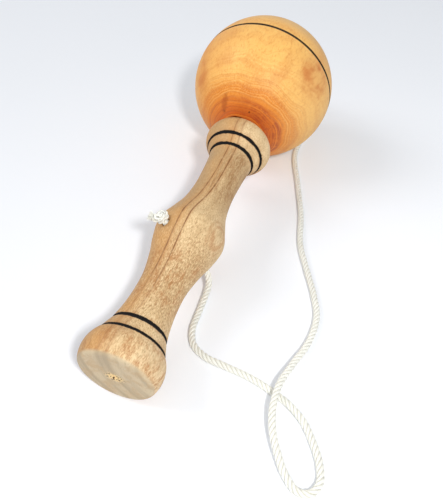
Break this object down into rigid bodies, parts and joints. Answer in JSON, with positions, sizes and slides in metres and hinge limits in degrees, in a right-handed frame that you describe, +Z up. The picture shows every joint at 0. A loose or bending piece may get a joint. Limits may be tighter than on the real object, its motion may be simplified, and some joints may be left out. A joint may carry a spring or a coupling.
{
  "type": "bilboquet",
  "caption": "Turned wooden handle with a bored wooden ball sitting on its peg and a slack twisted cord joining the two.",
  "frame": {"origin": "on the surface that the toy lies on, under the middle of the handle and ball together", "axes": "+X from the foot of the handle towards the ball, +Y to the left seen from the foot, +Z up"},
  "size_m": [0.2002, 0.098, 0.06],
  "materials": {
    "handle_wood": "satin turned pale wood with burnt lines",
    "ball_wood": "polished orange-brown wood with one burnt line",
    "cotton": "white twisted cotton"
  },
  "bodies": {
    "handle": {"handle": "handle_wood", "handle_knot": "cotton", "cord": "cotton"},
    "ball_tether": {"ball_knot": "cotton"},
    "ball": {"ball": "ball_wood"}
  },
  "joints": [
    {"name": "ball_pull", "type": "slide", "parent": "handle", "child": "ball_tether", "axis": [0.9864, -0.0379, 0.1602], "range_m": [0, 0.045], "deforming": ["cord"]},
    {"name": "ball_spin", "type": "hinge", "parent": "ball_tether", "child": "ball", "pos_m": [0.06019, 0, 0.03], "axis": [0.9864, -0.0379, 0.1602], "continuous": true}
  ]
}
